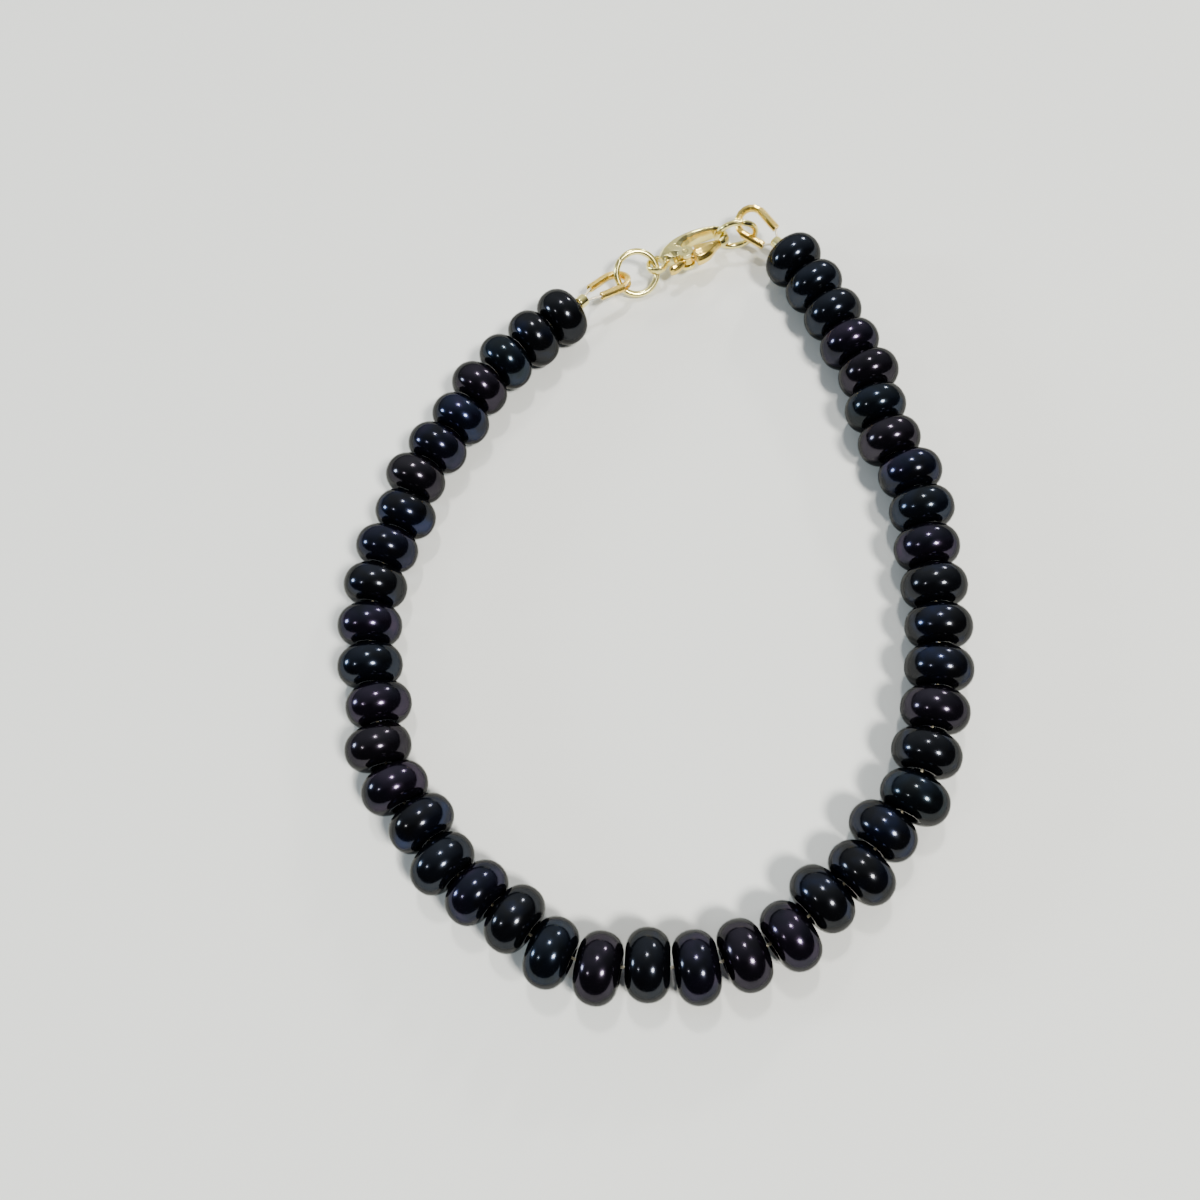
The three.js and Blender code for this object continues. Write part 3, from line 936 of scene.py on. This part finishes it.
@dataclass
class WireFindings:
    """The two cut jump rings and the two channel thread guards, with sizes in millimetres."""

    SIDES = ("left", "right")

    ring_levels: int = 3
    ring_swell: float = 0.056
    guard_voxel: float = 0.036
    guard_rounds: int = 9

    def build(self, pale: Finish, warm: Finish) -> list[bpy.types.Object]:
        """Makes the rings and guards.

        Args:
            pale: Finish of the rings.
            warm: Finish of the guards.

        Returns:
            The pieces.
        """
        made = []
        for side in self.SIDES:
            node = f"jump_ring_{side}"
            mesh = rounded(node, self.ring_levels, self.ring_swell)
            made.append(finished(f"ring_{side}", mesh, Body.BRACELET, pale, [node]))
        for side in self.SIDES:
            node = f"thread_guard_{side}"
            mesh = cast(node, self.guard_voxel, self.guard_rounds)
            made.append(finished(f"guard_{side}", mesh, Body.BRACELET, warm, [node]))
        return made


@dataclass
class LobsterClasp:
    """The cast clasp: body, sprung lever and rivet, with sizes in millimetres.

    A share is counted along the lever, from the hinge to the blade's tip.
    """

    voxel: float = 0.045
    rounds: int = 7
    lever_fineness: float = 0.85  # the lever's voxel over the body's
    rivet_voxel: float = 0.03
    rivet_rounds: int = 3
    blade_cuts: int = 2
    blade_start: float = 0.22  # share
    blade_edge: float = 0.5
    blade_bulge: float = 0.5
    heel: float = 0.3
    heel_place: float = 0.3  # share
    heel_reach: float = 0.2  # share

    def _blade(self) -> bmesh.types.BMesh:
        """Fills out the lever's blade on the side away from the claw.

        Returns:
            The lever's shape with its fuller blade, in metres.
        """
        form = merged_copy("clasp_lever")
        bmesh.ops.subdivide_edges(form, edges=form.edges, cuts=self.blade_cuts, use_grid_fill=True)
        hinge = Seat.of("clasp_pin")
        offs = {vert: vert.co - hinge.middle for vert in form.verts}
        tip = max(offs.values(), key=lambda off: off.length)
        reach = tip.length
        run = tip.normalized()
        out = hinge.axis.cross(run).normalized()
        claw = Seat.of("clasp_body").middle - hinge.middle
        if out.dot(claw) > 0:
            out.negate()
        for vert, off in offs.items():
            share = min(max(off.dot(run) / reach, 0.0), 1.0)
            aside = off.dot(out) / MM
            if share < self.blade_start or aside <= 0.0:
                continue
            spread = min(aside / self.blade_edge, 1.0) * MM
            rise = math.sin(math.pi * ((share - self.blade_start) / (1 - self.blade_start)) ** 0.5)
            heel = max(0.0, 1.0 - abs(share - self.heel_place) / self.heel_reach)
            vert.co += out * self.blade_bulge * spread * rise - run * self.heel * spread * heel
        return form

    def build(self, pale: Finish, warm: Finish) -> list[bpy.types.Object]:
        """Makes the clasp's three pieces.

        Args:
            pale: Finish of the body and rivet.
            warm: Finish of the lever.

        Returns:
            The pieces.
        """
        body = cast("clasp_body", self.voxel, self.rounds)
        lever = cast("clasp_lever", self.voxel * self.lever_fineness, self.rounds, self._blade())
        rivet = cast("clasp_pin", self.rivet_voxel, self.rivet_rounds)
        return [
            finished("clasp_casting", body, Body.BRACELET, pale, ["clasp_body"]),
            finished("clasp_gate", lever, Body.LEVER, warm, ["clasp_lever"]),
            finished("clasp_rivet", rivet, Body.BRACELET, pale, ["clasp_pin"]),
        ]


# Studio


@dataclass(frozen=True)
class Lamp:
    """One soft round lamp that shines on the middle of the part, with sizes in metres."""

    name: str
    direction: tuple[float, float, float]
    distance: float
    width: float
    watts: float
    colour: tuple[float, float, float] = (1.0, 1.0, 1.0)

    def hang(self) -> None:
        """Adds the lamp to the scene."""
        data = bpy.data.lights.new(self.name, "AREA")
        data.shape = "DISK"
        data.size = self.width
        data.energy = self.watts
        data.color = self.colour
        lamp = bpy.data.objects.new(self.name, data)
        way = Vector(self.direction).normalized()
        lamp.location = way * self.distance
        lamp.rotation_mode = "QUATERNION"
        lamp.rotation_quaternion = way.to_track_quat("Z", "Y")
        bpy.context.scene.collection.objects.link(lamp)


@dataclass
class Studio:
    """Floor, lamps, sky and camera, with places in metres and angles in degrees."""

    focus: tuple[float, float, float] = (-0.0046417, -0.0012630, 0.0)
    distance: float = 0.10107
    elevation: float = 68.71
    roll: float = -10.51
    lens: float = 31.784  # millimetres, as is the sensor
    sensor: float = 36.0
    clip: tuple[float, float] = (0.005, 20.0)
    floor_size: float = 3.0
    sky: Stops = (
        (0.0, (0.03, 0.03, 0.04, 1.0)),
        (0.52, (0.05, 0.05, 0.06, 1.0)),
        (0.74, (0.32, 0.35, 0.38, 1.0)),
        (1.0, (0.90, 0.95, 1.0, 1.0)),
    )
    sky_middle: tuple[float, float, float] = (0.05, 0.9, 0.45)
    sky_strength: float = 0.9
    lamps: tuple[Lamp, ...] = (
        Lamp("front_lamp", (0.329, -0.406, 0.850), 0.8, 0.15, 9.0, (1.0, 0.98, 0.94)),
        Lamp("high_lamp", (0.066, 0.426, 0.903), 0.8, 0.08, 3.0, (1.0, 0.98, 0.95)),
        Lamp("far_lamp", (0.57, 0.70, 0.42), 0.9, 0.10, 2.4, (1.0, 0.97, 0.93)),
        Lamp("side_window", (-0.93, 0.20, 0.30), 0.9, 0.16, 4.0, (0.70, 0.86, 1.0)),
        Lamp("near_lamp", (-0.66, -0.16, 0.73), 0.9, 0.06, 0.7, (1.0, 0.99, 0.96)),
    )

    def build(self) -> None:
        """Adds floor, lamps, sky and camera."""
        self._floor()
        for lamp in self.lamps:
            lamp.hang()
        self._sky()
        self._camera()

    def _floor(self) -> None:
        """Adds the pale floor."""
        half = self.floor_size / 2
        mesh = bpy.data.meshes.new("floor")
        corners = [(-half, -half, 0), (half, -half, 0), (half, half, 0), (-half, half, 0)]
        mesh.from_pydata(corners, [], [range(len(corners))])
        mesh.materials.append(StudioFloor().make())
        floor = bpy.data.objects.new("floor", mesh)
        bpy.context.scene.collection.objects.link(floor)

    def _sky(self) -> None:
        """Sets the dim light from all round, which brightens low on the part's far side."""
        world = bpy.data.worlds.new("studio")
        world.use_nodes = True
        graph = Graph(world.node_tree)
        way = graph.add("ShaderNodeTexCoord").outputs["Generated"]
        middle = tuple(Vector(self.sky_middle).normalized())
        lean = graph.add("ShaderNodeVectorMath", {"operation": "DOT_PRODUCT"}, {0: way, 1: middle})
        height = graph.term(lean.outputs["Value"]) * 0.5 + 0.5
        back = world.node_tree.nodes["Background"]
        graph.feed(back.inputs["Color"], graph.ramp(height, self.sky))
        back.inputs["Strength"].default_value = self.sky_strength
        bpy.context.scene.world = world

    def _camera(self) -> None:
        """Puts the camera where the photograph was taken from."""
        tilt, turn = math.radians(self.elevation), math.radians(self.roll)
        back = Vector((0.0, -math.cos(tilt), math.sin(tilt)))
        right = Vector((1.0, 0.0, 0.0))
        up = back.cross(right)
        across = right * math.cos(turn) + up * math.sin(turn)
        above = up * math.cos(turn) - right * math.sin(turn)
        data = bpy.data.cameras.new("camera")
        data.sensor_width = self.sensor
        data.lens = self.lens
        data.clip_start, data.clip_end = self.clip
        camera = bpy.data.objects.new("camera", data)
        facing = Matrix((across, above, back)).transposed().to_4x4()
        camera.matrix_world = Matrix.Translation(Vector(self.focus) + back * self.distance) @ facing
        bpy.context.scene.collection.objects.link(camera)
        bpy.context.scene.camera = camera


def main() -> None:
    """Builds the bracelet and its studio in order."""
    logging.basicConfig(level=logging.INFO, format="%(name)s %(message)s")
    Studio().build()
    glass = LustreGlass().make()
    nylon = ClearNylon().make()
    pale = GoldPlate("pale_gold", Slot.PALE_GOLD, Plating.PALE).make()
    warm = GoldPlate("warm_gold", Slot.WARM_GOLD, Plating.WARM, polish=0.18).make()
    tree = TurnedTree()
    pieces = BeadString().build(tree, glass, nylon)
    pieces += Crimps().build(tree, pale)
    pieces += WireFindings().build(pale, warm)
    pieces += LobsterClasp().build(pale, warm)
    LOG.info("%d pieces", len(pieces))


if __name__ == "__main__":
    main()
